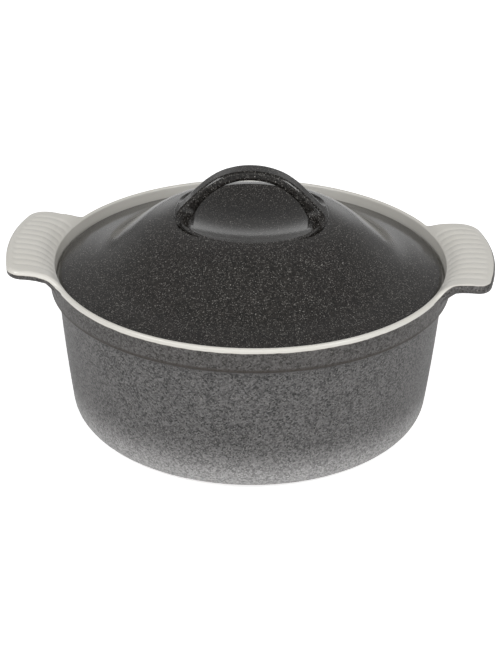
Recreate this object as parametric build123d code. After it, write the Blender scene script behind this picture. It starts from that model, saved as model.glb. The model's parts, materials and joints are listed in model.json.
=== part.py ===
from build123d import *
import math
import os

# A round covered casserole: a tapering bowl with a collar under its rim, two fluted
# lug handles, and a drop-in lid with a scooped crown and a loop handle.
# Millimetres. The origin is on the bowl's axis at the table, +Z up, lugs along X.

# Bowl
rim_radius = 127.5
rim_height = 105.0
lip_thickness = 3.0
lip_inner_rounding = 1.4
collar_height = 15.5
collar_step = 4.8
collar_step_height = 2.6
wall_thickness = 6.4
wall_taper = 8.4
wall_bow = 0.7
base_curve_radius = 12.0
floor_thickness = 8.0
inner_curve_radius = 18.0
foot_recess = 1.5
foot_ring_width = 9.0

# Gallery that the lid drops into
gallery_depth = 12.0
gallery_draft = 0.7

# Lid
seat_clearance = 1.9
seat_gap = 0.3
lid_edge_thickness = 5.8
lid_edge_rounding = 2.4
lid_thickness = 6.0
seat_land = 5.0
crown_radius = 46.5
crown_rise = 30.0
scoop_depth = 12.0
crown_wall = 8.1
brim_slope = 11.0
cone_slope = 38.0
shoulder_slope = 13.0
waist_out = 0.47
waist_down = 0.53

# Loop handle on the lid
loop_height = 30.5
loop_thickness = 4.2
loop_width = 12.0
loop_shoulder_inset = 8.5
loop_shoulder_rise = 10.9
loop_armpit_inset = 15.0
loop_armpit_rise = 9.1
loop_foot_depth = 11.0
loop_edge_rounding = 1.8
crescent_rise = 1.6

# Lug handles
lug_length = 27.5
lug_half_width = 47.5
lug_corner_radius = 8.0
lug_blend_radius = 20.0
lug_rise = 5.6
lug_crest_distance = 9.5
lug_shoulder_radius = 18.4
lug_shoulder_angle = 50.0
lug_droop_radius = 80.0
lug_thickness = 5.5
flute_count = 11
flute_pitch = 7.3
flute_depth = 1.0
flute_tool_radius = 5.0
flute_border = 6.0

# Places worked out from the sizes above
lip_radius = rim_radius - lip_thickness / 2
gallery_radius = rim_radius - lip_thickness - gallery_draft
ledge_height = rim_height - gallery_depth
step_height = rim_height - collar_height
wall_top_radius = rim_radius - collar_step
wall_top_height = step_height - collar_step_height
base_radius = wall_top_radius - wall_taper
bore_radius = wall_top_radius - wall_thickness
lid_radius = gallery_radius - seat_clearance
lid_bottom = ledge_height + seat_gap
lid_edge_top = lid_bottom + lid_edge_thickness
crown_height = rim_height + crown_rise
lug_crest_height = rim_height + lug_rise
lug_crest_radius = rim_radius + lug_crest_distance
lug_reach = rim_radius + lug_length


def spin(outline):
    """Turns a half section drawn in the XZ plane once round the Z axis."""
    return revolve(Plane.XZ * make_face(outline), Axis.Z)


def bowed(start, end, bow):
    """An arc from start to end that stands out sideways by bow at its middle."""
    middle = ((start[0] + end[0]) / 2 + bow, (start[1] + end[1]) / 2)
    return ThreePointArc(start, middle, end)


def bowl_outside():
    """The bowl's outer shape, filled solid: wall, base curve, collar and lip."""
    base = (base_radius, 0)
    wall_top = (wall_top_radius, wall_top_height)
    lip = (rim_radius, rim_height)
    outline = [
        Line((0, 0), base),
        bowed(base, wall_top, wall_bow),
        Polyline(wall_top, (rim_radius, step_height), lip, (0, rim_height), (0, 0)),
    ]
    section = make_face(outline)
    corner = section.vertices().sort_by_distance(base)[0]
    section = fillet(corner, base_curve_radius)
    lip_corner = section.vertices().sort_by_distance(lip)[0]
    section = fillet(lip_corner, lip_thickness / 2)
    step_corner = section.vertices().sort_by_distance(wall_top)[0]
    section = fillet(step_corner, collar_step_height)
    return revolve(Plane.XZ * section, Axis.Z)


def bowl_inside():
    """The space inside the bowl: cooking space, seat ledge and gallery."""
    floor_radius = bore_radius - wall_taper
    floor_edge = (floor_radius, floor_thickness)
    ledge_edge = (bore_radius, ledge_height)
    outline = [
        Line((0, floor_thickness), floor_edge),
        bowed(floor_edge, ledge_edge, wall_bow),
        Polyline(
            ledge_edge,
            (gallery_radius, ledge_height),
            (rim_radius - lip_thickness, rim_height),
            (0, rim_height),
            (0, floor_thickness),
        ),
    ]
    section = make_face(outline)
    floor_corner = section.vertices().sort_by_distance(floor_edge)[0]
    section = fillet(floor_corner, inner_curve_radius)
    return revolve(Plane.XZ * section, Axis.Z)


def dish_body():
    """The thrown bowl, with a ring foot round a shallow recess."""
    bowl = bowl_outside() - bowl_inside()
    inner_lip = (rim_radius - lip_thickness, 0, rim_height)
    lip_edge = bowl.edges().filter_by(GeomType.CIRCLE).sort_by_distance(inner_lip)[0]
    bowl = fillet(lip_edge, lip_inner_rounding)
    foot_radius = base_radius - base_curve_radius - foot_ring_width
    recess = Pos(0, 0, foot_recess / 2) * Cylinder(foot_radius, foot_recess)
    return bowl - recess


def heading(slope):
    """The direction that runs outwards and falls by slope degrees."""
    return math.cos(math.radians(slope)), -math.sin(math.radians(slope))


def flank_waist(edge):
    """The steepest point of the lid's flank, between the crown and the brim's edge."""
    out = crown_radius + waist_out * (edge[0] - crown_radius)
    return out, crown_height - waist_down * (crown_height - edge[1])


def lid_top():
    """The lid's upper surface from the scoop's centre out to the brim's edge."""
    crown = (crown_radius, crown_height)
    edge = (lid_radius - lid_edge_rounding, lid_edge_top)
    scoop_centre = (0, crown_height - scoop_depth)
    scoop_radius = (crown_radius**2 + scoop_depth**2) / (2 * scoop_depth)
    halfway = crown_radius / 2
    sag = scoop_radius - math.sqrt(scoop_radius**2 - halfway**2)
    scoop = ThreePointArc(scoop_centre, (halfway, scoop_centre[1] + sag), crown)
    tangents = [heading(slope) for slope in (shoulder_slope, cone_slope, brim_slope)]
    flank = Spline(crown, flank_waist(edge), edge, tangents=tangents)
    return [scoop, flank]


def lid_blank():
    """The lid's outer shape, filled solid down to below its seat."""
    edge = (lid_radius - lid_edge_rounding, lid_edge_top)
    floor = lid_bottom - gallery_depth
    down = Polyline(edge, (edge[0], floor), (0, floor), (0, crown_height - scoop_depth))
    return spin([*lid_top(), down])


def lid_shell():
    """The lid: one wall of even thickness, with a flat land that meets the ledge."""
    land_inner = (lid_radius - lid_edge_rounding - seat_land, lid_bottom)
    land_outer = (lid_radius - lid_edge_rounding, lid_bottom)
    edge = (land_outer[0], lid_edge_top)
    under_crown = (crown_radius + lid_thickness, crown_height - crown_wall)
    under_centre = (0, crown_height - scoop_depth - lid_thickness)
    waist = flank_waist(edge)
    along = heading(cone_slope)
    under_waist = (waist[0] + along[1] * lid_thickness, waist[1] - along[0] * lid_thickness)
    underside = Spline(
        under_centre,
        under_crown,
        under_waist,
        land_inner,
        tangents=[heading(0), heading(0), along, heading(brim_slope)],
    )
    rim_round = ThreePointArc(land_outer, (lid_radius, (lid_bottom + lid_edge_top) / 2), edge)
    outline = [
        *lid_top(),
        rim_round,
        Line(land_outer, land_inner),
        underside,
        Line(under_centre, (0, crown_height - scoop_depth)),
    ]
    return spin(outline)


def loop_handle():
    """The strap that arches over the scoop, with a crescent foot at each end."""
    top = crown_height + loop_height
    inner_top = top - loop_thickness
    shoulder = (crown_radius - loop_shoulder_inset, crown_height + loop_shoulder_rise)
    armpit = (crown_radius - loop_armpit_inset, crown_height + loop_armpit_rise)
    heel = (crown_radius, crown_height - crescent_rise)
    toe = (crown_radius - loop_foot_depth, crown_height - scoop_depth / 3)
    buried = crown_height - scoop_depth
    foot_line = [shoulder, heel, (heel[0], buried), (toe[0], buried), toe, armpit]
    outline = [
        ThreePointArc((-shoulder[0], shoulder[1]), (0, top), shoulder),
        Polyline(*foot_line),
        ThreePointArc(armpit, (0, inner_top), (-armpit[0], armpit[1])),
        Polyline(*[(-x, z) for x, z in reversed(foot_line)]),
    ]
    strap = extrude(Plane.XZ * make_face(outline), loop_width / 2, both=True)
    long_edges = strap.edges().filter_by(Axis.Y, reverse=True)
    arch_edges = long_edges.filter_by(GeomType.CIRCLE)
    strap = fillet(arch_edges, loop_edge_rounding)
    ring = Circle(crown_radius) - Ellipse(crown_radius - loop_foot_depth, crown_radius + 0.5)
    foot = Pos(0, 0, buried) * extrude(ring, crown_height + crescent_rise - buried)
    return strap + foot - lid_blank()


def lug_plan():
    """The outline of one lug seen from above, running in under the rim."""
    tongue = Circle(lug_reach) & Pos(lug_reach / 2, 0) * Rectangle(lug_reach, 2 * lug_half_width)
    tongue = fillet(tongue.vertices().group_by(Axis.X)[-1], lug_corner_radius)
    plan = tongue + Circle(rim_radius)
    root = math.sqrt(rim_radius**2 - lug_half_width**2)
    corners = [plan.vertices().sort_by_distance((root, side * lug_half_width))[0] for side in (1, -1)]
    plan = fillet(corners, lug_blend_radius)
    blend_end = rim_radius * (lug_half_width + lug_blend_radius) / (rim_radius + lug_blend_radius)
    return plan & Pos(lug_reach, 0) * Rectangle(2 * lug_reach, 2 * blend_end)


def lug_arcs(lift, inner_angle, outer_reach):
    """The lug's arched top line raised by lift: a tight shoulder, then a slow droop."""
    shoulder = lug_shoulder_radius + lift
    droop = lug_droop_radius + lift
    crest = (lug_crest_radius, lug_crest_height + lift)
    centre_height = lug_crest_height - lug_shoulder_radius
    angles = [math.radians(inner_angle), math.radians(inner_angle / 2)]
    start, middle = [
        (lug_crest_radius - shoulder * math.sin(angle), centre_height + shoulder * math.cos(angle))
        for angle in angles
    ]
    angle = math.asin((outer_reach - lug_crest_radius) / lug_droop_radius)
    droop_centre = lug_crest_height - lug_droop_radius
    far, half = [
        (lug_crest_radius + droop * math.sin(turn), droop_centre + droop * math.cos(turn))
        for turn in (angle, angle / 2)
    ]
    return start, far, [ThreePointArc(start, middle, crest), ThreePointArc(crest, half, far)]


def lug_top():
    """Everything under the lug's arched top line, drawn across X and run along Y."""
    start, far, top = lug_arcs(0, lug_shoulder_angle, lug_reach + flute_depth)
    inner = math.sqrt(rim_radius**2 - (lug_half_width + lug_blend_radius) ** 2) - lug_thickness
    down = Polyline(far, (far[0], step_height), (inner, step_height), (inner, start[1]), start)
    return extrude(Plane.XZ * make_face([*top, down]), 1.5 * lug_half_width, both=True)


def lug_underside():
    """Everything over the lug's lower line, turned about the bowl's axis.

    The line follows the arched top at an even thickness, then curves down to meet
    the foot of the collar.
    """
    start, far, lower = lug_arcs(-lug_thickness, 1, lug_reach + flute_depth)
    foot = (rim_radius, step_height)
    hollow = 1 - math.cos(math.pi / 4)
    bend = (foot[0] + hollow * (start[0] - foot[0]), start[1] - hollow * (start[1] - foot[1]))
    ceiling = lug_crest_height + lug_thickness
    rest = Polyline(far, (far[0], ceiling), (0, ceiling), (0, step_height), foot)
    return spin([*lower, ThreePointArc(start, bend, foot), rest])


def right_lug():
    """One lug handle, fluted on top, seated on the outside of the rim."""
    plan = Pos(0, 0, step_height) * extrude(lug_plan(), lug_rise + collar_height + lug_thickness)
    lug = lug_top() & lug_underside() & plan
    start, far, line = lug_arcs(flute_tool_radius - flute_depth, lug_shoulder_angle, lug_reach - flute_border)
    path = Plane.XZ * Wire(line)
    slope = math.radians(lug_shoulder_angle)
    profile = Plane(
        origin=(start[0], 0, start[1]),
        z_dir=(math.cos(slope), 0, math.sin(slope)),
    ) * Circle(flute_tool_radius)
    flute = sweep(profile, path=path)
    first = -(flute_count - 1) / 2 * flute_pitch
    for index in range(flute_count):
        lug -= Pos(0, first + index * flute_pitch, 0) * flute
    mouth = Cylinder(lip_radius, 2 * lug_crest_height)
    return lug - mouth - bowl_outside()


right = right_lug()
nodes = {
    "dish_body": dish_body(),
    "right_lug_handle": right,
    "left_lug_handle": Rot(0, 0, 180) * right,
    "lid_shell": lid_shell(),
    "lid_loop_handle": loop_handle(),
}

os.makedirs("parts", exist_ok=True)
for name, shape in nodes.items():
    export_step(shape, f"parts/{name}.step")
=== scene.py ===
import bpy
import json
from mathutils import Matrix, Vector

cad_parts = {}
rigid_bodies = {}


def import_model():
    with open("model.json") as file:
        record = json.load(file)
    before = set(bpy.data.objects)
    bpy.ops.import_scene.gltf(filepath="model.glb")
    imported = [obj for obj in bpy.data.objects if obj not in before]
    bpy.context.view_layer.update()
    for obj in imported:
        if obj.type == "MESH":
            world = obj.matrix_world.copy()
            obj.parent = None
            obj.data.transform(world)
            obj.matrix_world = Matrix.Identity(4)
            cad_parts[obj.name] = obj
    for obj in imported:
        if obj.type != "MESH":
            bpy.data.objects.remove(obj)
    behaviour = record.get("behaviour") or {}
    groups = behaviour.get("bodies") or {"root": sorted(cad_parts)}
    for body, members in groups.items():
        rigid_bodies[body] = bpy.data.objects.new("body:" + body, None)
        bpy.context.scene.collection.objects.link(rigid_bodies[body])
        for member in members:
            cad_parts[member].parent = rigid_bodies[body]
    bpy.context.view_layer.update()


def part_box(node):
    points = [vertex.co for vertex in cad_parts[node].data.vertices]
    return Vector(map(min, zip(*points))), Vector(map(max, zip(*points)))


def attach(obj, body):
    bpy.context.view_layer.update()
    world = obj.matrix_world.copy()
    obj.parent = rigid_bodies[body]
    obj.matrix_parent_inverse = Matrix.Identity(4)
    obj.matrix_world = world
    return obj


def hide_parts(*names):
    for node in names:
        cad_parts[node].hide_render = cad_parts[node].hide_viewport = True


bl_info = {
    "name": "Covered casserole",
    "version": (1, 0, 0),
    "blender": (4, 5, 0),
    "location": "3D View > Sidebar > Casserole",
    "description": "Builds a stoneware casserole with fluted lugs and a looped lid",
    "category": "Add Mesh",
}

import json
import math

import bpy
import numpy as np
from bpy.props import FloatProperty, FloatVectorProperty, IntProperty, PointerProperty
from mathutils import Matrix, Vector

for leftover in list(bpy.data.objects):
    bpy.data.objects.remove(leftover)

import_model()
BOWL_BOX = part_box("dish_body")
RIM_RADIUS = min(BOWL_BOX[1].x, BOWL_BOX[1].y, -BOWL_BOX[0].x, -BOWL_BOX[0].y)
LUG_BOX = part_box("right_lug_handle")
SHELL_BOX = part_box("lid_shell")
LOOP_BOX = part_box("lid_loop_handle")

MM = 0.001
WELD = 0.002 * MM
# Numbers that the meshes carry: millimetres inside the edge of the cream and of the
# bare clay, and how deep a groove may be
GLAZE_EDGE = "glaze_edge"
BARE_CLAY = "bare_clay"
FLUTE_MASK = "flute_mask"
FAR_OFF = 50.0


# ---- properties


def number(name, description, value, **settings):
    """A plain number."""
    return FloatProperty(name=name, description=description, default=value, **settings)


def length(name, description, millimetres):
    """A length that the panel shows with its unit."""
    settings = {"unit": "LENGTH", "subtype": "DISTANCE", "precision": 5}
    return number(name, description, millimetres * MM, **settings)


def angle(name, description, degrees):
    """An angle that the panel shows in degrees."""
    return number(name, description, math.radians(degrees), subtype="ANGLE")


def share(name, description, value):
    """A number from 0 to 1."""
    return number(name, description, value, min=0.0, max=1.0)


def whole(name, description, value, least):
    """A whole number."""
    return IntProperty(name=name, description=description, default=value, min=least)


def colour(name, description, value):
    """A linear colour without alpha."""
    settings = {"size": 3, "subtype": "COLOR", "min": 0.0, "max": 1.0}
    return FloatVectorProperty(name=name, description=description, default=value, **settings)


class CASSEROLE_PG_bowl(bpy.types.PropertyGroup):
    """Sizes of the turned bowl."""

    rim_radius: length("Rim radius", "Outside of the collar", RIM_RADIUS / MM)
    rim_height: length("Rim height", "Top of the lip", BOWL_BOX[1].z / MM)
    lip_thickness: length("Lip thickness", "Width of the rounded lip", 3.0)
    collar_height: length("Collar height", "Depth of the band under the lip", 15.5)
    collar_step: length("Collar step", "How far the band stands out", 4.8)
    wall_taper: length("Wall taper", "How much the wall draws in to the base", 8.4)
    wall_bow: length("Wall bow", "How much the wall swells at its middle", 0.7)
    wall_thickness: length("Wall thickness", "Thickness of the wall", 6.4)
    base_curve: length("Base curve", "Radius between the wall and the foot", 13.5)
    foot_width: length("Foot width", "Width of the foot's flat ring", 7.5)
    floor_thickness: length("Floor thickness", "Height of the inside floor", 8.0)
    gallery_depth: length("Gallery depth", "Depth of the ledge for the lid", 12.0)
    cream_drop: length("Cream drop", "How far the cream runs down outside", 2.8)
    segments: whole("Segments", "Facets round the bowl", 600, 64)


class CASSEROLE_PG_lugs(bpy.types.PropertyGroup):
    """Sizes of the two fluted lugs."""

    reach: length("Reach", "Distance of the lug's end from the axis", LUG_BOX[1].x / MM - 0.4)
    half_width: length("Half width", "Half the width of the tongue", 47.5)
    corner: length("Corner", "Radius of the tongue's two corners", 11.0)
    blend: length("Blend", "Radius where the tongue runs in to the rim", 20.0)
    crest_out: length("Crest", "Distance of the crest beyond the seam", 12.5)
    droop: length("Droop", "Radius of the fall beyond the crest", 60.0)
    rise: length("Rise", "Height of the crest over the rim", 5.6)
    edge: length("Edge", "Radius of the rounded edge", 2.6)
    edge_band: length("Edge band", "Height of the flat band round the edge", 1.1)
    lean: share("Lean", "How far each lug leans towards the front", 0.018)
    left_lift: share("Left lift", "Upward tilt of the left lug", 0.19)
    right_lift: share("Right lift", "Upward tilt of the right lug", 0.075)
    right_glaze: length("Right glaze", "How far the right lug's cream stops short", 2.3)
    flute_pitch: length("Flute pitch", "Distance between two grooves", 7.3)
    flute_depth: length("Flute depth", "Depth of a groove", 0.65)
    flute_softness: share("Flute softness", "Rounding of a groove's floor", 0.05)
    flute_count: whole("Flutes", "Grooves across the lug", 11, 1)


class CASSEROLE_PG_lid(bpy.types.PropertyGroup):
    """Sizes of the turned lid."""

    radius: length("Radius", "Outside of the brim", SHELL_BOX[1].x / MM)
    bottom: length("Bottom", "Height of the seat", SHELL_BOX[0].z / MM)
    crown_radius: length("Crown radius", "Radius of the crown's ring", 46.5)
    crown_height: length("Crown height", "Height of the crown's ring", SHELL_BOX[1].z / MM)
    scoop: length("Scoop", "Depth of the hollow in the crown", 9.5)
    thickness: length("Thickness", "Thickness under the hollow", 8.5)
    edge: length("Edge", "Height of the brim's outer edge", 6.1)
    land: length("Land", "Width of the flat ring under the brim", 5.0)
    segments: whole("Segments", "Facets round the lid", 600, 64)


class CASSEROLE_PG_loop(bpy.types.PropertyGroup):
    """Sizes of the loop handle."""

    top: length("Top", "Height of the top of the loop", LOOP_BOX[1].z / MM)
    width: length("Width", "Width of the strap", 12.8)
    rounding: length("Rounding", "Radius along the strap's edges", 1.35)
    foot_spread: length("Foot spread", "Half the length of a foot on the ring", 38.0)


class CASSEROLE_PG_glaze(bpy.types.PropertyGroup):
    """Colours and finishes."""

    lid: colour("Lid glaze", "Charcoal glaze of the lid", (0.0125, 0.0110, 0.0096))
    # Painted shade: the loop's glaze is the lid's glaze made darker for the strap
    loop: colour("Loop glaze", "Glaze where it runs thick on the loop", (0.010, 0.009, 0.008))
    body: colour("Body glaze", "Grey glaze of the wall", (0.066, 0.064, 0.0635))
    specks: colour("Specks", "Pale specks in both glazes", (0.225, 0.215, 0.20))
    cream: colour("Cream glaze", "Glaze of the inside and the lugs", (0.65, 0.635, 0.597))
    clay: colour("Bare clay", "Unglazed stoneware of the foot", (0.42, 0.31, 0.22))
    lid_roughness: share("Lid roughness", "Gloss of the lid", 0.18)
    body_roughness: share("Body roughness", "Satin of the wall", 0.42)
    cream_roughness: share("Cream roughness", "Gloss of the cream", 0.28)


class CASSEROLE_PG_stage(bpy.types.PropertyGroup):
    """Camera and light."""

    distance: length("Distance", "Camera to the middle of the rim", 1100.0)
    elevation: angle("Elevation", "Camera above the horizon", 25.05)
    azimuth: angle("Azimuth", "Camera round the dish", 2.0)
    drop: angle("Drop", "How far the aim falls below the rim", 2.31)
    roll: angle("Roll", "Turn about the line of sight", 0.67)
    lens: number("Lens", "Focal length in millimetres", 95.43)
    room: number("Room", "Brightness all round the dish", 0.34)
    window: number("Window", "Brightness in front of the dish", 1.1)
    wall: number("Wall", "Brightness low down behind the dish", 0.5)
    floor_glow: number("Floor glow", "Light given out by the floor", 0.55)


# ---- outline helpers


def rounded(corners, turn_step=math.radians(9)):
    """Points of a line through (x, z, radius) corners, each rounded to its radius."""
    line = []
    for index, (x, z, radius) in enumerate(corners):
        here = np.array((x, z))
        if radius == 0 or index in (0, len(corners) - 1):
            line.append(here)
            continue
        back = np.array(corners[index - 1][:2]) - here
        ahead = np.array(corners[index + 1][:2]) - here
        back, ahead = back / np.linalg.norm(back), ahead / np.linalg.norm(ahead)
        half = math.acos(np.clip(back @ ahead, -1, 1)) / 2
        middle = (back + ahead) / np.linalg.norm(back + ahead)
        centre = here + middle * radius / math.sin(half)
        reach = radius / math.tan(half)
        spokes = [here + side * reach - centre for side in (back, ahead)]
        start, end = [math.atan2(spoke[1], spoke[0]) for spoke in spokes]
        sweep = (end - start + math.pi) % math.tau - math.pi
        steps = max(4, math.ceil(abs(sweep) / turn_step))
        for angle in np.linspace(start, start + sweep, steps + 1):
            line.append(centre + radius * np.array((math.cos(angle), math.sin(angle))))
    return line


def spaced(line, step, support=0.2 * MM):
    """The same line with points close to both ends of long runs and at every step."""
    out = [line[0]]
    for start, end in zip(line, line[1:]):
        run = np.linalg.norm(end - start)
        if run < 1e-7:
            continue
        marks = []
        if run > 6 * support:
            marks = [support / run, 1 - support / run]
        inner = np.linspace(0, 1, max(2, math.ceil(run / step) + 1))[1:-1]
        for mark in sorted([*marks, *inner]):
            out.append(start + (end - start) * mark)
        out.append(end)
    return np.array(out)


def flow(start, leave, end, arrive, t):
    """A point between start and end, which it leaves and reaches at the given rates."""
    near = (1 + 2 * t) * (1 - t) ** 2
    pull = leave * t * (1 - t) ** 2
    return start * near + pull + end * (1 - near) - arrive * t * t * (1 - t)


def flowing(stations, step):
    """A curve through (x, z, slope in degrees) stations, as corners of no radius."""
    corners = []
    for (x0, z0, s0), (x1, z1, s1) in zip(stations, stations[1:]):
        chord = math.hypot(x1 - x0, z1 - z0)
        sense = math.copysign(1, x1 - x0)
        leave, arrive = [
            np.array((math.cos(math.radians(s)), math.sin(math.radians(s)))) * chord * sense
            for s in (s0, s1)
        ]
        count = max(2, round(chord / step))
        for t in np.arange(count) / count:
            point = flow(np.array((x0, z0)), leave, np.array((x1, z1)), arrive, t)
            corners.append((*point, 0))
    return [*corners, (*stations[-1][:2], 0)]


def bowed(start, end, bow, first, last, count):
    """Corners of no radius along a wall that swells by bow, between two shares of it."""
    return [
        (
            start[0] + (end[0] - start[0]) * t + bow * 4 * t * (1 - t),
            start[1] + (end[1] - start[1]) * t,
            0,
        )
        for t in np.linspace(first, last, count)
    ]


def distance_along(line):
    """How far each point lies from the first, along the line, in millimetres."""
    steps = np.linalg.norm(np.diff(line, axis=0), axis=1)
    return np.concatenate([[0], np.cumsum(steps)]) / MM


def ease(low, high, value):
    """0 below low, 1 above high, and smooth between."""
    t = np.clip((value - low) / (high - low), 0, 1)
    return t * t * (3 - 2 * t)


# ---- node helpers


class Wiring:
    """Adds nodes to a tree and joins their sockets."""

    def __init__(self, tree):
        self.tree = tree

    def add(self, kind, inputs=None, **settings):
        """A new node with its settings made and its inputs joined."""
        made = self.tree.nodes.new(kind)
        for name, value in settings.items():
            setattr(made, name, value)
        for key, value in (inputs or {}).items():
            self.join(value, made.inputs[key])
        return made

    def out(self, kind, inputs=None, **settings):
        """The first output of a new node."""
        return self.add(kind, inputs, **settings).outputs[0]

    def join(self, value, socket):
        """Links one socket to another, or sets the socket to a plain value."""
        if isinstance(value, bpy.types.NodeSocket):
            self.tree.links.new(value, socket)
        else:
            socket.default_value = value

    def math(self, operation, *values):
        return self.out("ShaderNodeMath", dict(enumerate(values)), operation=operation)

    def plus(self, first, second):
        return self.math("ADD", first, second)

    def minus(self, first, second):
        return self.math("SUBTRACT", first, second)

    def times(self, first, second):
        return self.math("MULTIPLY", first, second)

    def place(self):
        """Where a point of the surface lies on its own object."""
        return self.add("ShaderNodeTexCoord").outputs["Object"]

    def noise(self, place, scale, detail):
        inputs = {"Vector": place, "Scale": scale, "Detail": detail}
        return self.out("ShaderNodeTexNoise", inputs)

    def step(self, value, low, high, top=1.0):
        """0 at low, top at high, and smooth between."""
        inputs = {"Value": value, "From Min": low, "From Max": high, "To Max": top}
        return self.out("ShaderNodeMapRange", inputs, interpolation_type="SMOOTHSTEP")

    def blend(self, part, first, second):
        """A colour between two."""
        inputs = {0: part, 6: first, 7: second}
        return self.add("ShaderNodeMix", inputs, data_type="RGBA").outputs[2]

    def scaled(self, colour, factor):
        """A colour made lighter or darker."""
        inputs = {0: colour, "Scale": factor}
        return self.out("ShaderNodeVectorMath", inputs, operation="SCALE")


SOCKETS = {float: "Float", int: "Int", tuple: "Color"}


def new_group(name, kind, inputs, outputs):
    """A node group, its input node's sockets and its output node's.

    Each socket is given by its default value, or by its type where it has none.
    """
    tree = bpy.data.node_groups.new(name, kind)
    for direction, sockets in (("INPUT", inputs), ("OUTPUT", outputs)):
        for label, value in sockets.items():
            socket = f"NodeSocket{SOCKETS.get(type(value), value)}"
            made = tree.interface.new_socket(name=label, in_out=direction, socket_type=socket)
            if type(value) in SOCKETS:
                made.default_value = value
    wires = Wiring(tree)
    return wires, wires.add("NodeGroupInput").outputs, wires.add("NodeGroupOutput").inputs


def turning_tree(attributes):
    """Geometry nodes that turn a half section once round the Z axis."""
    name = "Turn on the wheel " + " ".join(attributes)
    if name in bpy.data.node_groups:
        return bpy.data.node_groups[name]
    inputs = {"Section": "Geometry", "Segments": 600, "Glaze": "Material"}
    outputs = {"Turned form": "Geometry"}
    wires, given, result = new_group(name, "GeometryNodeTree", inputs, outputs)
    section, segments = given["Section"], given["Segments"]
    count = wires.out("GeometryNodeAttributeDomainSize", {0: section})
    size = {"Vertices X": wires.plus(segments, 1.0), "Vertices Y": count}
    grid = wires.out("GeometryNodeMeshGrid", size)
    index = wires.out("GeometryNodeInputIndex")
    row, column = [
        wires.out("FunctionNodeIntegerMath", {0: index, 1: count}, operation=operation)
        for operation in ("MODULO", "DIVIDE_FLOOR")
    ]

    def sampled(value, **settings):
        """What the section's own point in the same row says."""
        wanted = {"Geometry": section, "Value": value, "Index": row}
        return wires.out("GeometryNodeSampleIndex", wanted, **settings)

    point = sampled(wires.out("GeometryNodeInputPosition"), data_type="FLOAT_VECTOR")
    point = wires.add("ShaderNodeSeparateXYZ", {0: point}).outputs
    turn = wires.times(wires.math("DIVIDE", column, segments), math.tau)
    east = wires.times(point["X"], wires.math("COSINE", turn))
    north = wires.times(point["X"], wires.math("SINE", turn))
    where = wires.out("ShaderNodeCombineXYZ", {"X": east, "Y": north, "Z": point["Z"]})
    form = wires.out("GeometryNodeSetPosition", {"Geometry": grid, "Position": where})
    for attribute in attributes:
        value = sampled(wires.out("GeometryNodeInputNamedAttribute", {"Name": attribute}))
        kept = {"Geometry": form, "Name": attribute, "Value": value}
        form = wires.out("GeometryNodeStoreNamedAttribute", kept)
    # This closes the seam and the poles.
    closed = {"Geometry": form, "Distance": WELD}
    form = wires.out("GeometryNodeMergeByDistance", closed)
    finish_tree(wires, form, given["Glaze"], result)
    return wires.tree


def fluting_tree():
    """Geometry nodes that press rounded grooves along X into a lug's top."""
    inputs = {
        "Lug": "Geometry",
        "Pitch": 7.3 * MM,
        "Depth": 1.0 * MM,
        "Softness": 0.02,
        "Glaze": "Material",
    }
    outputs = {"Fluted lug": "Geometry"}
    wires, given, result = new_group("Press the flutes", "GeometryNodeTree", inputs, outputs)
    position = wires.out("GeometryNodeInputPosition")
    across = wires.add("ShaderNodeSeparateXYZ", {0: position}).outputs["Y"]
    phase = wires.times(wires.math("DIVIDE", across, given["Pitch"]), math.pi)
    wave = wires.math("SINE", phase)
    square = wires.plus(wires.times(wave, wave), given["Softness"])
    height = wires.math("SQRT", square)
    mask = wires.out("GeometryNodeInputNamedAttribute", {"Name": FLUTE_MASK})
    depth = wires.times(given["Depth"], mask)
    lowered = wires.times(wires.minus(height, 1.0), depth)
    # A groove never rises above the plain top.
    lowered = wires.math("MINIMUM", lowered, 0.0)
    offset = wires.out("ShaderNodeCombineXYZ", {"Z": lowered})
    moved = {"Geometry": given["Lug"], "Offset": offset}
    form = wires.out("GeometryNodeSetPosition", moved)
    finish_tree(wires, form, given["Glaze"], result)
    return wires.tree


def finish_tree(wires, form, material, result):
    """Ends a tree with smooth shading, real meshes and the material."""
    form = wires.out("GeometryNodeSetShadeSmooth", {"Geometry": form})
    form = wires.out("GeometryNodeRealizeInstances", {0: form})
    form = wires.out("GeometryNodeSetMaterial", {"Geometry": form, "Material": material})
    wires.join(form, result[0])


def link(name, mesh):
    """A new object at the origin that holds the mesh."""
    piece = bpy.data.objects.new(name, mesh)
    bpy.context.scene.collection.objects.link(piece)
    return piece


def plain_result(piece, tree, values):
    """Runs the tree on the piece and keeps the result as its plain mesh."""
    modifier = piece.modifiers.new(tree.name, "NODES")
    modifier.node_group = tree
    for item in tree.interface.items_tree:
        if item.in_out == "INPUT" and item.name in values:
            modifier[item.identifier] = values[item.name]
    graph = bpy.context.evaluated_depsgraph_get()
    mesh = bpy.data.meshes.new_from_object(
        piece.evaluated_get(graph), preserve_all_data_layers=True, depsgraph=graph
    )
    piece.modifiers.clear()
    rough = piece.data
    piece.data = mesh
    bpy.data.meshes.remove(rough)
    mesh.name = piece.name
    if len(mesh.polygons) == 0:
        raise RuntimeError(f"{piece.name} came out empty")
    return piece


def store(mesh, name, values):
    """Keeps one number for each vertex."""
    made = mesh.attributes.new(name, "FLOAT", "POINT")
    made.data.foreach_set("value", np.asarray(values, np.float32))


def turned(name, line, attributes, segments, material):
    """A piece made by turning a half section, with numbers along the section."""
    mesh = bpy.data.meshes.new(name)
    points = [(x, 0.0, z) for x, z in line]
    mesh.from_pydata(points, [], [])
    for key, values in attributes.items():
        store(mesh, key, values)
    tree = turning_tree(list(attributes))
    values = {"Segments": segments, "Glaze": material}
    return plain_result(link(name, mesh), tree, values)


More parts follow.
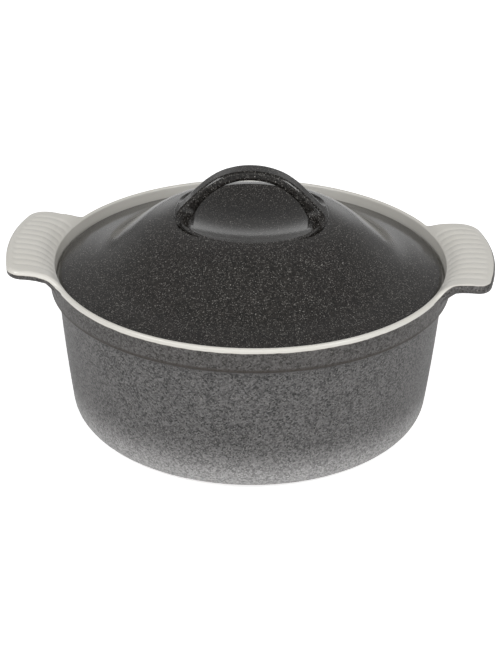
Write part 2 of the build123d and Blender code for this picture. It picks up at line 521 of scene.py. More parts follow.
def tube(name, rings):
    """A mesh through rings of the same number of points, with a fan at each end."""
    columns, rows = len(rings), len(rings[0])
    faces = []
    for here in range(0, (columns - 1) * rows, rows):
        there = here + rows
        for r in range(rows):
            up = (r + 1) % rows
            faces.append((here + up, there + up, there + r, here + r))
    first, final = columns * rows, (columns - 1) * rows
    for r in range(rows):
        up = (r + 1) % rows
        faces.append((r, up, first))
        faces.append((final + up, final + r, first + 1))
    points = np.vstack([*rings, rings[0].mean(axis=0), rings[-1].mean(axis=0)])
    mesh = bpy.data.meshes.new(name)
    mesh.from_pydata(points.tolist(), [], faces)
    return mesh


# ---- glazes

# Size against the spacing, share of the cells that hold one, and brightness
SPECK_SIZES = ((1.0, 1.0, 0.6), (1.6, 0.6, 0.75), (2.7, 0.3, 1.0))
GRAIN_SIZE = 1.25
# Linear colours, and the heights between which they come in
# Painted bounce light: the pale that the wall turns to near the foot
BOUNCE_PALE = (0.325, 0.320, 0.317)
# Painted shade along the collar's step, also used thinly over the collar band
STEP_SHADE_DARK = (0.020, 0.014, 0.009, 1)
BORDER_LINE = (0.10, 0.075, 0.055, 1)
CREAM_SHADE = (0.93, 0.92, 0.89)
CLAY_SHADE = (0.72, 0.72, 0.72)
# Heights between which the painted bounce light comes in
BOUNCE_TOP, BOUNCE_BOTTOM = 42 * MM, 1 * MM
# Reach and core of the painted shade line round the collar's step
SHADE_REACH, SHADE_CORE = 3.4 * MM, 0.8 * MM
BAND_FOOT, BAND_FULL = 88.5 * MM, 90.5 * MM


def speckle_group(name):
    """Specks of three sizes, a fine grain and a slow cloudiness over a colour."""
    inputs = {"Glaze": (0.03, 0.03, 0.03, 1), "Specks": (0.3, 0.3, 0.3, 1)}
    inputs |= {"Spacing": 0.0012, "Coverage": 0.4, "Cloudiness": 0.2, "Grain": 0.5}
    wires, given, result = new_group(name, "ShaderNodeTree", inputs, {"Color": "Color"})
    place = wires.place()

    def cells(size):
        """How far the middle of a cell is, and three random numbers of its own."""
        scale = wires.math("DIVIDE", 1.0 / size, given["Spacing"])
        cell = wires.add("ShaderNodeTexVoronoi", {"Vector": place, "Scale": scale}).outputs
        random = wires.add("ShaderNodeSeparateColor", {0: cell["Color"]}).outputs
        return cell["Distance"], random

    masks = []
    for growth, amount, bright in SPECK_SIZES:
        distance, random = cells(growth)
        wanted = wires.times(given["Coverage"], amount)
        chosen = wires.math("LESS_THAN", random[1], wanted)
        size = 0.34 / growth**0.75
        radius = wires.math("MULTIPLY_ADD", random[0], size, 0.5 * size)
        inside = wires.minus(radius, distance)
        spot = wires.step(inside, -0.10 / growth, 0.16 / growth)
        strength = wires.math("MULTIPLY_ADD", random[2], 0.7 * bright, 0.3 * bright)
        spot = wires.times(spot, chosen)
        masks.append(wires.times(spot, strength))
    specks = wires.math("MAXIMUM", wires.math("MAXIMUM", *masks[:2]), masks[2])
    cloud = wires.minus(wires.noise(place, 45.0, 4.0), 0.5)
    cloud = wires.times(cloud, given["Cloudiness"])
    grain = wires.minus(cells(GRAIN_SIZE)[1][0], 0.45)
    grain = wires.times(grain, given["Grain"])
    shade = wires.plus(wires.plus(cloud, grain), 1.0)
    base = wires.scaled(given["Glaze"], shade)
    wires.join(wires.blend(specks, base, given["Specks"]), result["Color"])
    return wires.tree


def border_group(name):
    """Where one glaze ends and the next begins, with a wandering edge."""
    inputs = {"Distance": 0.0, "Wander": 0.4, "Softness": 0.25}
    outputs = {"Inside": "Float", "Line": "Float"}
    wires, given, result = new_group(name, "ShaderNodeTree", inputs, outputs)
    noise = wires.noise(wires.place(), 160.0, 3.0)
    wander = wires.times(wires.minus(noise, 0.5), given["Wander"])
    moved = wires.plus(given["Distance"], wander)
    outer = wires.times(given["Softness"], -1.0)
    inside = wires.step(moved, outer, given["Softness"])
    line = wires.times(inside, wires.minus(1.0, inside))
    wires.join(inside, result["Inside"])
    wires.join(wires.times(line, 4.0), result["Line"])
    return wires.tree


def ripple_group(name):
    """The faint waviness and pinholes of a fired glaze, as a height."""
    inputs = {"Ripple": 1.0, "Pinholes": 0.2}
    wires, given, result = new_group(name, "ShaderNodeTree", inputs, {"Height": "Float"})
    place = wires.place()
    wave = wires.times(wires.noise(place, 110.0, 1.0), given["Ripple"])
    fine = wires.times(wires.noise(place, 1400.0, 2.0), given["Pinholes"])
    wires.join(wires.plus(wave, fine), result["Height"])
    return wires.tree


def use_group(wires, name, build, inputs):
    """Places a shader group, built the first time that it is needed."""
    tree = bpy.data.node_groups.get(name) or build(name)
    return wires.add("ShaderNodeGroup", inputs, node_tree=tree).outputs


def opaque(value):
    """A colour with full alpha."""
    return (*value, 1.0)


def emptied(holder):
    """The wiring of a new material or world, with no node in it yet."""
    holder.use_nodes = True
    holder.node_tree.nodes.clear()
    return Wiring(holder.node_tree)


def bounce_and_step_shade(wires, tint, place, look):
    """The wall's glaze with painted light: paler near the foot as painted floor bounce, painted
    shade along the collar's step, and a darker collar band.
    """
    scene = bpy.context.scene
    height = wires.add("ShaderNodeSeparateXYZ", {0: place}).outputs["Z"]
    # Painted bounce light: the glaze turns paler where the wall turns under to the foot.
    bounce_light = wires.math("POWER", wires.step(height, BOUNCE_TOP, BOUNCE_BOTTOM), 1.6)
    shade = wires.out("ShaderNodeRGBToBW", {0: tint})
    shade = wires.math("MULTIPLY_ADD", shade, 0.45 / scene.casserole_glaze.body[1], 0.55)
    pale = wires.scaled(BOUNCE_PALE, shade)
    tint = wires.blend(wires.times(bounce_light, look["lift"]), tint, pale)
    # Painted shade: dark along the foot of the collar, with a thin darkening over the collar
    # band above.
    foot = scene.casserole_bowl.rim_height - look["shade_drop"]
    off = wires.math("ABSOLUTE", wires.minus(height, foot))
    step_shade = wires.times(wires.step(off, SHADE_REACH, SHADE_CORE), 0.85)
    band = wires.times(wires.step(height, BAND_FOOT, BAND_FULL), 0.3)
    return wires.blend(wires.math("MAXIMUM", step_shade, band), tint, STEP_SHADE_DARK)


def glaze_material(name, look, cream_edge=False, clay_edge=False):
    """A fired glaze: speckled charcoal, with cream and bare clay where they apply."""
    if name in bpy.data.materials:
        return bpy.data.materials[name]
    colours = bpy.context.scene.casserole_glaze
    glaze, roughness = [getattr(colours, setting) for setting in look["glaze"]]
    material = bpy.data.materials.new(name)
    wires = emptied(material)
    place = wires.place()

    def border(attribute, wander, softness):
        """Masks of what lies inside a glaze's edge, and of the edge itself."""
        distance = wires.add("ShaderNodeAttribute", attribute_name=attribute).outputs["Fac"]
        inputs = {"Distance": distance, "Wander": wander, "Softness": softness}
        return use_group(wires, "Glaze border", border_group, inputs)

    def mottled(colour, shade, scale):
        """A colour that turns into its own shade here and there."""
        darker = [part * factor for part, factor in zip(colour, shade)]
        return wires.blend(wires.noise(place, scale, 3.0), opaque(colour), opaque(darker))

    inputs = {"Glaze": opaque(glaze), "Specks": opaque(colours.specks), **look["speckle"]}
    tint = use_group(wires, "Speckled glaze", speckle_group, inputs)["Color"]
    # The wall gets painted bounce light near the foot and painted shade at the collar's step.
    if "shade_drop" in look:
        tint = bounce_and_step_shade(wires, tint, place, look)
    patch = wires.noise(place, 60.0, 3.0)
    span = {"Value": patch, "To Min": roughness * 0.85, "To Max": roughness * 1.15}
    rough = wires.out("ShaderNodeMapRange", span)
    if cream_edge:
        edge = border(GLAZE_EDGE, 0.7, 0.22)
        cream = mottled(colours.cream, CREAM_SHADE, 30.0)
        tint = wires.blend(edge["Inside"], tint, cream)
        tint = wires.blend(wires.times(edge["Line"], 0.55), tint, BORDER_LINE)
        mixed = {0: edge["Inside"], 2: rough, 3: colours.cream_roughness}
        rough = wires.out("ShaderNodeMix", mixed)
    if clay_edge:
        edge = border(BARE_CLAY, 0.6, 0.2)
        clay = mottled(colours.clay, CLAY_SHADE, 700.0)
        tint = wires.blend(edge["Inside"], tint, clay)
        rough = wires.out("ShaderNodeMix", {0: edge["Inside"], 2: rough, 3: 0.85})
    height = use_group(wires, "Glaze ripple", ripple_group, look["ripple"])["Height"]
    relief = {"Height": height, "Distance": 0.06 * MM, "Strength": 1.0}
    finish = {
        "Base Color": tint,
        "Roughness": rough,
        "Normal": wires.out("ShaderNodeBump", relief),
        "IOR": 1.5,
        **look["shader"],
    }
    shader = wires.out("ShaderNodeBsdfPrincipled", finish)
    wires.add("ShaderNodeOutputMaterial", {"Surface": shader})
    return material


DISH_LOOK = {
    "glaze": ("body", "body_roughness"),
    "speckle": {"Spacing": 0.0008, "Coverage": 0.50, "Cloudiness": 0.45, "Grain": 1.9},
    "ripple": {"Ripple": 0.9, "Pinholes": 0.5},
    "shader": {"Specular IOR Level": 0.5, "Coat Weight": 0.0, "Coat Roughness": 0.2},
    # Strength of the painted bounce light near the foot
    "lift": 0.93,
    # Height below the rim of the painted shade line at the collar's step
    "shade_drop": 0.0152,
}
LID_LOOK = {
    "glaze": ("lid", "lid_roughness"),
    "speckle": {"Spacing": 0.0008, "Coverage": 0.6, "Cloudiness": 0.4, "Grain": 1.5},
    "ripple": {"Ripple": 0.8, "Pinholes": 0.12},
    "shader": {"Specular IOR Level": 0.5, "Coat Weight": 0.2, "Coat Roughness": 0.06},
}
LOOP_LOOK = {
    **LID_LOOK,
    # The loop's colour is the lid's glaze made darker as painted shade
    "glaze": ("loop", "lid_roughness"),
    "shader": {"Specular IOR Level": 0.1, "Coat Weight": 0.4, "Coat Roughness": 0.06},
}


# ---- the bowl


RECESS = 1.5 * MM
STEP_HEIGHT = 2.6 * MM
GALLERY_DRAFT = 0.7 * MM
INNER_CURVE = 18 * MM
CLAY_RISE = 1.1 * MM


def bowl_section(sizes):
    """The bowl's half section from the middle of its foot to its inside floor."""
    rim, top, lip = sizes.rim_radius, sizes.rim_height, sizes.lip_thickness
    step = top - sizes.collar_height
    wall_top = (rim - sizes.collar_step, step - STEP_HEIGHT)
    base = (wall_top[0] - sizes.wall_taper, 0)
    foot_inner = base[0] - sizes.base_curve - sizes.foot_width
    inner_top = (wall_top[0] - sizes.wall_thickness, top - sizes.gallery_depth)
    inner_base = (inner_top[0] - sizes.wall_taper, sizes.floor_thickness)
    corners = [
        (0, RECESS, 0),
        (foot_inner - 0.6 * MM, RECESS, 0.9 * MM),
        (foot_inner, 0, 0.8 * MM),
        (*base, sizes.base_curve),
        *bowed(base, wall_top, sizes.wall_bow, 0.16, 0.94, 18),
        (*wall_top, 2.4 * MM),
        (rim, step, 1.5 * MM),
        (rim, top, lip / 2 - 0.01 * MM),
        (rim - lip, top, lip / 2 - 0.02 * MM),
        (rim - lip - GALLERY_DRAFT, inner_top[1], 0.9 * MM),
        (*inner_top, 1.3 * MM),
        *bowed(inner_top, inner_base, sizes.wall_bow, 0.06, 0.76, 12),
        (*inner_base, INNER_CURVE),
        (0, sizes.floor_thickness, 0),
    ]
    return spaced(rounded(corners), 6 * MM)


class CASSEROLE_OT_bowl(bpy.types.Operator):
    """Turn the bowl with its foot, collar, gallery and lip"""

    bl_idname = "casserole.bowl"
    bl_label = "Bowl"

    def execute(self, context):
        sizes = context.scene.casserole_bowl
        line = bowl_section(sizes)
        along = distance_along(line)
        outer = line[:, 0] > sizes.rim_radius - sizes.lip_thickness / 2
        cream_foot = sizes.rim_height - sizes.cream_drop
        below = outer & (line[:, 1] <= cream_foot)
        cream_start = along[below].max() + (cream_foot - line[below, 1].max()) / MM
        near_foot = (line[:, 0] > line[:, 0].max() * 0.7) & (line[:, 1] < CLAY_RISE)
        clay_end = along[near_foot].max()
        material = glaze_material("dish_stoneware", DISH_LOOK, True, True)
        attributes = {GLAZE_EDGE: along - cream_start, BARE_CLAY: clay_end - along}
        bowl = turned("bowl", line, attributes, sizes.segments, material)
        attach(bowl, "dish")
        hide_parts("dish_body")
        return {"FINISHED"}


# ---- the lugs


# The foot of a lug under the rim, and its back inside the bowl's wall
ROOT = -12 * MM
HIDDEN_IN, HIDDEN_TOP = 1.9 * MM, -2.2 * MM
# The plain border that the flutes fade into
BORDER, BORDER_END = 3.4 * MM, 6.8 * MM
# Beyond this half width the columns fan out to follow the blend into the rim.
INNER_HALF = 36 * MM
PROBE = 0.2 * MM
CENTRE_STEPS, SIDE_STEPS, TOP_STEPS, EDGE_STEPS, UNDER_STEPS = 80, 96, 52, 7, 18


def lug_outline(sizes, rim):
    """The half plan of a lug, from its middle to where it meets the rim.

    Gives points and outward normals at even steps, as arrays.
    """
    corner_y = sizes.half_width - sizes.corner
    corner_x = math.sqrt((sizes.reach - sizes.corner) ** 2 - corner_y**2)
    corner_turn = math.atan2(corner_y, corner_x)
    blend_y = sizes.half_width + sizes.blend
    blend_x = math.sqrt((rim + sizes.blend) ** 2 - blend_y**2)
    blend_turn = math.atan2(blend_y, blend_x)
    step = 0.2 * MM

    def arc(cx, cy, radius, start, end, sense):
        count = max(2, round(abs(end - start) * radius / step))
        for angle in np.linspace(start, end, count, endpoint=False):
            spoke = np.array((math.cos(angle), math.sin(angle)))
            yield np.array((cx, cy)) + radius * spoke, sense * spoke

    run = [
        *arc(0, 0, sizes.reach, 0, corner_turn, 1),
        *arc(corner_x, corner_y, sizes.corner, corner_turn, math.pi / 2, 1),
    ]
    straight = round((corner_x - blend_x) / step)
    for t in np.linspace(0, 1, straight, endpoint=False):
        x = corner_x + (blend_x - corner_x) * t
        run.append((np.array((x, sizes.half_width)), np.array((0.0, 1.0))))
    lowest = -math.pi / 2
    run += arc(blend_x, blend_y, sizes.blend, lowest, blend_turn - math.pi, -1)
    return np.array([p for p, n in run]), np.array([n for p, n in run]), blend_turn


def lug_top(x, y, sizes, rim, seam_radius, seam_drop, blend_end, lift):
    """Height over the rim of the lug's plain arched top."""
    crest = np.sqrt(seam_radius**2 - y**2) + sizes.crest_out
    fade = 1 - ease(sizes.half_width, blend_end, np.abs(y))
    inside = np.clip((crest - x) / sizes.crest_out, 0, 1)
    sag = sizes.crest_out**2 / (2 * sizes.droop)
    full = sizes.rise + seam_drop
    rise = fade * (full - sag * inside**2 - (full - sag) * inside**2.4)
    fall = np.where(x > crest, (x - crest) ** 2 / (2 * sizes.droop), 0)
    return rise - seam_drop - fall + lift * np.maximum(x - rim, 0) * fade


def lug_mesh(name, sizes, bowl, lift, short, lean):
    """One lug as a grid: top, rounded edge, underside and hidden back."""
    rim = bowl.rim_radius
    half_lip = bowl.lip_thickness / 2
    diagonal = half_lip * math.sqrt(0.5)
    seam_radius = rim - half_lip - diagonal
    seam_drop = half_lip - diagonal
    outline, normals, blend_turn = lug_outline(sizes, rim)
    blend_end = rim * math.sin(blend_turn)
    travel = distance_along(outline) * MM
    inner_travel = travel[np.argmax(outline[:, 1] > INNER_HALF)]
    middle = np.linspace(0, inner_travel, CENTRE_STEPS, endpoint=False)
    side = np.linspace(inner_travel, travel[-1], SIDE_STEPS + 1)
    marks = np.concatenate([middle, side])
    outs, facing = [
        np.column_stack([np.interp(marks, travel, run[:, k]) for k in (0, 1)])
        for run in (outline, normals)
    ]
    facing /= np.linalg.norm(facing, axis=1)[:, None]
    # The last column is drawn in a little, so that its end hides in the lip.
    outs[-1] -= facing[-1] * 0.06 * MM
    progress = np.clip((marks - inner_travel) / (travel[-1] - inner_travel), 0, 1)
    seam_inner = math.asin(INNER_HALF / seam_radius)
    seam_angle = np.where(
        marks < inner_travel,
        np.arcsin(np.clip(outs[:, 1] / seam_radius, -1, 1)),
        seam_inner + (blend_turn - seam_inner) * progress,
    )
    reach_fade = 1 - ease(0.62, 1.0, progress)

    def top_height(x, y):
        return lug_top(x, y, sizes, rim, seam_radius, seam_drop, blend_end, lift)

    columns, edges, masks = [], [], []
    # Closer together at both ends
    across = np.linspace(0, 1, TOP_STEPS + 1)
    across = across - np.sin(2 * math.pi * across) * 0.06
    flute_end = sizes.flute_count * sizes.flute_pitch / 2
    for out, normal, angle, fade in zip(outs, facing, seam_angle, reach_fade):
        away = np.array((math.cos(angle), math.sin(angle)))
        seam = away * seam_radius
        radius = half_lip + (sizes.edge - half_lip) * fade
        # The top runs into the rounded edge at its own slope.
        inset = out - normal * radius
        for _ in range(3):
            back = inset - normal * PROBE
            tilt = math.atan((top_height(*inset) - top_height(*back)) / PROBE)
            inset = out - normal * radius * (1 - math.cos(math.pi / 2 + tilt))
        start = math.pi / 2 + tilt
        plan = seam + (inset - seam) * across[:, None]
        heights = top_height(plan[:, 0], plan[:, 1])
        heights[0] -= 0.03 * MM
        ring = [(x, y, z) for (x, y), z in zip(plan, heights)]
        to_border = np.linalg.norm(out - plan, axis=1)
        from_seam = np.linalg.norm(plan - seam, axis=1)
        mask = (
            ease(BORDER, BORDER_END, to_border)
            * ease(0, 1.8 * MM, from_seam)
            * (1 - ease(flute_end - 2.6 * MM, flute_end + 1.0 * MM, np.abs(plan[:, 1])))
        )
        centre_plan = inset - normal * radius * math.cos(start)
        centre_z = heights[-1] - radius * math.sin(start)
        finish = -(math.pi / 2 - tilt) * fade
        band = sizes.edge_band * fade
        upper = np.linspace(start, 0, EDGE_STEPS + 1)[1:]
        lower = np.linspace(0, finish, EDGE_STEPS + 1)
        for angle, drop in [(a, 0) for a in upper] + [(a, band) for a in lower]:
            x, y = centre_plan + normal * radius * math.cos(angle)
            ring.append((x, y, centre_z - drop + radius * math.sin(angle)))
        edge_angle = -0.25 * (1 - fade)
        edge_travel = radius * (start - edge_angle) - short * fade
        p0 = np.array(ring[-1])
        leave = np.array((*(normal * math.sin(finish)), -math.cos(finish)))
        p3 = np.array((*(away * (rim - 0.05 * MM)), ROOT))
        flat = np.linalg.norm(p3[:2] - p0[:2])
        tall = abs(p3[2] - p0[2])
        p1 = p0 + leave * (0.6 * flat + 0.25 * tall * math.cos(finish))
        p2 = p3 + np.array((0, 0, tall * (0.3 + 0.45 * fade)))
        for t in np.linspace(0, 1, UNDER_STEPS + 1)[1:]:
            s = 1 - t
            ring.append(p0 * s**3 + 3 * p1 * s * s * t + 3 * p2 * s * t * t + p3 * t**3)
        hidden = away * (rim - HIDDEN_IN)
        ring = np.array([*ring, (*hidden, ROOT), (*hidden, HIDDEN_TOP)])
        travelled = distance_along(ring)
        along = travelled[TOP_STEPS] + edge_travel / MM - travelled
        along[-2:] = -FAR_OFF
        columns.append(ring)
        edges.append(along)
        masks.append(np.concatenate([mask, np.zeros(len(ring) - len(mask))]))
    # The far half mirrors the near one, so the rings run from -Y to +Y.
    rings = [ring * (1, -1, 1) for ring in reversed(columns[1:])] + columns
    edges = edges[:0:-1] + edges
    masks = masks[:0:-1] + masks
    for ring in rings:
        far = np.hypot(ring[:, 0], ring[:, 1])
        ring[:, 0] -= lean * ring[:, 1] * ease(rim + 4 * MM, rim + 20 * MM, far)
        ring[:, 2] += bowl.rim_height
    mesh = tube(name, rings)
    store(mesh, GLAZE_EDGE, np.concatenate([*edges, [-FAR_OFF] * 2]))
    store(mesh, FLUTE_MASK, np.concatenate([*masks, [0, 0]]))
    return mesh


class CASSEROLE_OT_lugs(bpy.types.Operator):
    """Build the two fluted lugs on the rim"""

    bl_idname = "casserole.lugs"
    bl_label = "Lugs"

    def execute(self, context):
        sizes = context.scene.casserole_lugs
        bowl = context.scene.casserole_bowl
        material = glaze_material("lug_stoneware", DISH_LOOK, True)
        tree = fluting_tree()
        values = {
            "Pitch": sizes.flute_pitch,
            "Depth": sizes.flute_depth,
            "Softness": sizes.flute_softness,
            "Glaze": material,
        }
        sides = (
            ("right", 0.0, sizes.right_lift, sizes.right_glaze, sizes.lean),
            ("left", math.pi, sizes.left_lift, 0.0, -sizes.lean),
        )
        for side, turn, lift, short, lean in sides:
            name = f"{side}_lug"
            mesh = lug_mesh(name, sizes, bowl, lift, short, lean)
            lug = plain_result(link(name, mesh), tree, values)
            lug.data.transform(Matrix.Rotation(turn, 4, "Z"))
            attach(lug, "dish")
            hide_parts(f"{side}_lug_handle")
        return {"FINISHED"}


# ---- the lid


EDGE_ROUNDING = 2.4 * MM


def lid_section(sizes):
    """The lid's half section from its underside's middle, round the brim, to its top."""
    crown, top = sizes.crown_radius, sizes.crown_height
    brim, low = sizes.radius, sizes.bottom
    edge_top = low + sizes.edge
    thick = sizes.thickness
    floor = top - sizes.scoop
    land_inner = brim - EDGE_ROUNDING - sizes.land
    under = [
        (0, floor - thick, 0),
        (26 * MM, floor - thick + 3.2 * MM, 13),
        (crown + 5 * MM, top - 8.1 * MM, -2),
        (77 * MM, top - 23.8 * MM, -38),
        (98 * MM, top - 37.6 * MM, -20),
        (land_inner, low, -11),
    ]
    over = [
        (brim - 2.9 * MM, edge_top + 0.1 * MM, -12.5),
        (107 * MM, top - 32.4 * MM, -13.5),
        (95 * MM, top - 28.6 * MM, -27),
        (82 * MM, top - 19.1 * MM, -38.5),
        (70 * MM, top - 9.6 * MM, -36),
        (58 * MM, top - 3.05 * MM, -20.5),
        (crown + 1.6 * MM, top - 0.3 * MM, -8.5),
    ]
    scoop = [
        (r * crown, floor + sizes.scoop * r * r, 0) for r in np.linspace(0.955, 0.0, 16)
    ]
    corners = [
        *flowing(under, 5 * MM),
        (brim, low, 1.4 * MM),
        (brim, edge_top - 0.5 * MM, 2.3 * MM),
        *flowing(over, 2.6 * MM),
        (crown, top, 0.7 * MM),
        *scoop,
    ]
    return spaced(rounded(corners), 5 * MM)


class CASSEROLE_OT_lid(bpy.types.Operator):
    """Turn the lid with its brim, flank, crown ring and scoop"""

    bl_idname = "casserole.lid"
    bl_label = "Lid"

    def execute(self, context):
        sizes = context.scene.casserole_lid
        line = lid_section(sizes)
        along = distance_along(line)
        brim = (line[:, 0] > sizes.radius * 0.9) & (line[:, 1] < sizes.bottom + 0.01 * MM)
        material = glaze_material("lid_stoneware", LID_LOOK, True)
        attributes = {GLAZE_EDGE: along[brim].max() - along}
        lid = turned("lid", line, attributes, sizes.segments, material)
        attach(lid, "lid")
        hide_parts("lid_shell")
        return {"FINISHED"}


# ---- the loop handle


def strap_section(half_width, rounding, half_thick):
    """One ring of a rounded strap: shares across its width and its thickness."""
    flat_y = half_width - rounding
    flat_t = half_thick - rounding
    quarter = [(half_thick, flat_y * s) for s in np.linspace(0, 1, 7)[:-1]]
    for angle in np.linspace(0, math.pi / 2, 10):
        # Flatter than an arc, so that the corner reads as a narrow facet.
        part_t, part_y = [max(f(angle), 0.0) ** 1.7 for f in (math.cos, math.sin)]
        quarter.append((flat_t + rounding * part_t, flat_y + rounding * part_y))
    quarter.append((flat_t * 0.5, half_width))
    ring = [*quarter, *[(-t, y) for t, y in reversed(quarter)]]
    ring += [(-t, -y) for t, y in quarter[1:]]
    ring += [(t, -y) for t, y in reversed(quarter[1:])]
    return [(t / half_thick, y / half_width) for t, y in ring]


def loop_mesh(name, sizes, crown_height):
    """The strap that arches over the scoop and spreads along the ring at each foot."""
    rise = sizes.top - crown_height
    # Outer and inner line from the top down to the foot, over the crown's ring.
    stations = np.array(
        [
            (0.0, rise / MM - 0.5, 0.0, 23.7),
            (9.9, 29.0, 9.0, 22.7),
            (19.7, 25.7, 17.0, 19.8),
            (27.9, 20.4, 23.6, 15.3),
            (35.2, 13.6, 29.2, 9.9),
            (41.6, 6.9, 33.0, 4.8),
            (46.0, 2.4, 34.8, 0.6),
            (48.6, 0.2, 35.4, -3.2),
            (50.0, -2.0, 35.8, -7.6),
        ]
    )
    # Rows stand closer together from the sixth station on, where the foot spreads.
    last, dense = len(stations) - 1, 5.2
    rows = [*np.linspace(0, dense, 40, endpoint=False), *np.linspace(dense, last, 60)]
    tangents = np.gradient(stations, axis=0)
    # At the top the line runs level, so that the two halves meet smoothly.
    tangents[0] = (stations[1][0], 0, stations[1][2], 0)
    half = []
    for row in rows:
        k = min(int(row), last - 1)
        pair = (stations[k], tangents[k], stations[k + 1], tangents[k + 1])
        half.append(flow(*pair, row - k))
    half = np.array(half) * MM
    mirrored = half[1:][::-1] * (-1, 1, -1, 1)
    lines = np.vstack([mirrored, half])
    rings = []
    strap = sizes.width / 2
    spread = sizes.foot_spread - strap
    for outer_x, outer_z, inner_x, inner_z in lines:
        lift = max(outer_z / MM, 0.0)
        flare = 0.93 * math.exp(-lift / 0.75) + 0.07 * math.exp(-lift / 3.0)
        half_width = strap + spread * flare
        lens = 0.97 * math.exp(-lift / 1.2)
        outer, inner = np.array((outer_x, outer_z)), np.array((inner_x, inner_z))
        centre, arm = (outer + inner) / 2, (outer - inner) / 2
        half_thick = np.linalg.norm(arm)
        rounding = min(sizes.rounding, 0.92 * half_thick)
        ring = []
        for t, y in strap_section(strap, rounding, half_thick):
            pointed = math.copysign((1 - min(abs(y), 1.0) ** 1.6) ** (1 / 1.6), t)
            across = t + (pointed - t) * lens + lens * y * y
            x, z = centre + arm * min(across, 1.0)
            width = y * half_width
            # Low down, the foot follows the round of the crown's ring.
            bend = 1.0
            if lens > 0.001:
                bend = math.sqrt(max(1 - lens * (width / outer_x) ** 2, 0.0))
            ring.append((x * bend, width, z + crown_height))
        rings.append(np.array(ring))
    mesh = tube(name, rings)
    mesh.polygons.foreach_set("use_smooth", [True] * len(mesh.polygons))
    return mesh


class CASSEROLE_OT_loop(bpy.types.Operator):
    """Build the loop handle over the scoop"""

    bl_idname = "casserole.loop"
    bl_label = "Loop handle"

    def execute(self, context):
        sizes = context.scene.casserole_loop
        lid = context.scene.casserole_lid
        mesh = loop_mesh("loop_handle", sizes, lid.crown_height)
        mesh.materials.append(glaze_material("loop_stoneware", LOOP_LOOK))
        loop = link("loop_handle", mesh)
        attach(loop, "lid")
        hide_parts("lid_loop_handle")
        return {"FINISHED"}


# ---- the stage


FLOOR_GAP = 0.05 * MM
AIM = (0, 0, 70 * MM)
BOX_PLACE, BOX_SIDES, BOX_POWER = (1.0, -0.62, 1.05), (0.38, 0.5), 6.0


def floor_material(glow):
    """A white sweep that gives out a little light of its own."""
    material = bpy.data.materials.new("studio_floor")
    wires = emptied(material)
    paper = wires.noise(wires.place(), 6.0, 2.0)
    white = wires.blend(paper, (0.86, 0.86, 0.86, 1), (0.88, 0.88, 0.88, 1))
    seen = wires.add("ShaderNodeLightPath").outputs["Is Camera Ray"]
    finish = {
        "Base Color": white,
        "Roughness": 0.9,
        "Specular IOR Level": 0.0,
        "Emission Color": (1, 1, 1, 1),
        "Emission Strength": wires.math("MULTIPLY_ADD", seen, glow, 0.1),
    }
    shader = wires.out("ShaderNodeBsdfPrincipled", finish)
    wires.add("ShaderNodeOutputMaterial", {"Surface": shader})
    return material


def studio_sky(around, front, back):
    """A dim room with a large window in front and a pale wall low down behind."""
    world = bpy.data.worlds.new("studio")
    wires = emptied(world)
    direction = wires.add("ShaderNodeTexCoord").outputs["Generated"]
    parts = wires.add("ShaderNodeSeparateXYZ", {0: direction}).outputs
    window = wires.step(parts["Y"], -0.25, -0.75, front)
    low = wires.step(parts["Z"], 0.42, 0.15)
    wall = wires.times(wires.step(parts["Y"], 0.3, 0.6, back), low)
    middle = wires.step(wires.math("ABSOLUTE", parts["X"]), 0.46, 0.2)
    middle = wires.times(middle, wires.step(parts["Z"], -0.12, 0.0))
    wall = wires.times(wall, middle)
    above = wires.step(parts["Z"], -0.02, 0.14)
    room = wires.math("MULTIPLY_ADD", above, around / 2, around / 2)
    strength = wires.plus(wires.plus(window, room), wall)
    # The eye sees white beyond the floor.
    seen = wires.add("ShaderNodeLightPath").outputs["Is Camera Ray"]
    light = {"Color": (1, 1, 1, 1), "Strength": wires.math("MAXIMUM", strength, seen)}
    background = wires.out("ShaderNodeBackground", light)
    wires.add("ShaderNodeOutputWorld", {"Surface": background})
    bpy.context.scene.world = world


def soft_box(name, place, aim, sides, power):
    """A flat lamp at place, turned towards aim, with its width and its height."""
    lamp = bpy.data.lights.new(name, "AREA")
    lamp.shape = "RECTANGLE"
    lamp.size, lamp.size_y = sides
    lamp.energy = power
    made = link(name, lamp)
    made.location = place
    made.rotation_euler = (Vector(aim) - Vector(place)).to_track_quat("-Z", "Y").to_euler()


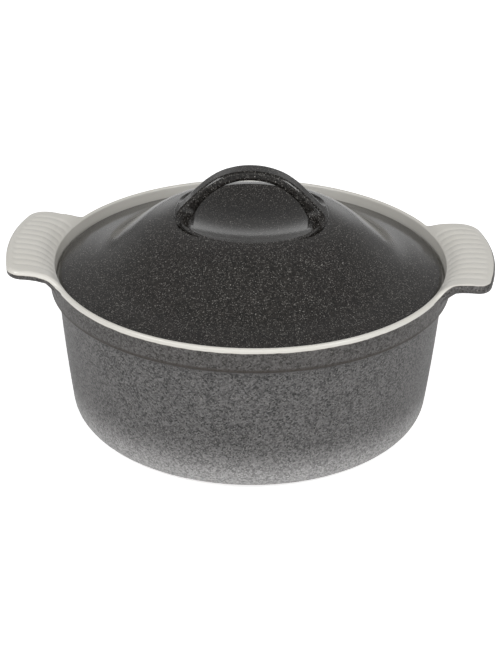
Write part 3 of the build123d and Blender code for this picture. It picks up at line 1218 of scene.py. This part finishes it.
class CASSEROLE_OT_stage(bpy.types.Operator):
    """Set up the floor, the soft light and the camera"""

    bl_idname = "casserole.stage"
    bl_label = "Stage"

    def execute(self, context):
        settings = context.scene.casserole_stage
        context.scene.view_settings.view_transform = "Standard"
        self.floor(settings)
        studio_sky(settings.room, settings.window, settings.wall)
        across, back, up = BOX_PLACE
        soft_box("left_box", (-across, back, up), AIM, BOX_SIDES, BOX_POWER)
        soft_box("right_box", (across, back, up), AIM, BOX_SIDES, BOX_POWER)
        self.camera(context, settings)
        return {"FINISHED"}

    def floor(self, settings):
        """A round sheet, drawn from its outer edge in, that curls up far from the dish."""
        rings = [(1.6, 0.004), (1.5, 0.0), (1.0, 0.0), (0.5, 0.0), (0.0, 0.0)]
        line = [(radius, height - FLOOR_GAP) for radius, height in rings]
        turned("floor", line, {}, 96, floor_material(settings.floor_glow))

    def camera(self, context, settings):
        """A long lens at the height of someone seated at the table."""
        rim = Vector((0, 0, context.scene.casserole_bowl.rim_height))
        side, up = settings.azimuth, settings.elevation
        away = Vector(
            (math.sin(side) * math.cos(up), -math.cos(side) * math.cos(up), math.sin(up))
        )
        made = link("camera", bpy.data.cameras.new("camera"))
        made.data.lens = settings.lens
        made.data.sensor_width = 36.0
        made.data.clip_start = 0.05
        made.data.clip_end = 50.0
        turn = (-away).to_track_quat("-Z", "Y").to_matrix()
        turn @= Matrix.Rotation(-settings.drop, 3, "X") @ Matrix.Rotation(settings.roll, 3, "Z")
        made.matrix_world = Matrix.Translation(rim + away * settings.distance) @ turn.to_4x4()
        context.scene.camera = made


# ---- the panel

STEPS = ("bowl", "lugs", "lid", "loop", "stage")


class CASSEROLE_PT_panel(bpy.types.Panel):
    """Lists the sizes, the colours and the steps"""

    bl_idname = "CASSEROLE_PT_panel"
    bl_label = "Covered casserole"
    bl_space_type = "VIEW_3D"
    bl_region_type = "UI"
    bl_category = "Casserole"

    def draw(self, context):
        for group in GROUPS:
            box = self.layout.box()
            box.label(text=GROUPS[group].__doc__)
            settings = getattr(context.scene, group)
            for name in GROUPS[group].__annotations__:
                box.prop(settings, name)
        for step in STEPS:
            self.layout.operator(f"casserole.{step}")


GROUPS = {
    "casserole_bowl": CASSEROLE_PG_bowl,
    "casserole_lugs": CASSEROLE_PG_lugs,
    "casserole_lid": CASSEROLE_PG_lid,
    "casserole_loop": CASSEROLE_PG_loop,
    "casserole_glaze": CASSEROLE_PG_glaze,
    "casserole_stage": CASSEROLE_PG_stage,
}
OPERATORS = (
    CASSEROLE_OT_bowl,
    CASSEROLE_OT_lugs,
    CASSEROLE_OT_lid,
    CASSEROLE_OT_loop,
    CASSEROLE_OT_stage,
)


def register():
    for name, group in GROUPS.items():
        bpy.utils.register_class(group)
        setattr(bpy.types.Scene, name, PointerProperty(type=group))
    for made in (*OPERATORS, CASSEROLE_PT_panel):
        bpy.utils.register_class(made)


def unregister():
    for made in (CASSEROLE_PT_panel, *reversed(OPERATORS)):
        bpy.utils.unregister_class(made)
    for name, group in reversed(GROUPS.items()):
        delattr(bpy.types.Scene, name)
        bpy.utils.unregister_class(group)


def main():
    register()
    for step in STEPS:
        getattr(bpy.ops.casserole, step)()
    bpy.context.view_layer.update()


if __name__ == "__main__":
    main()
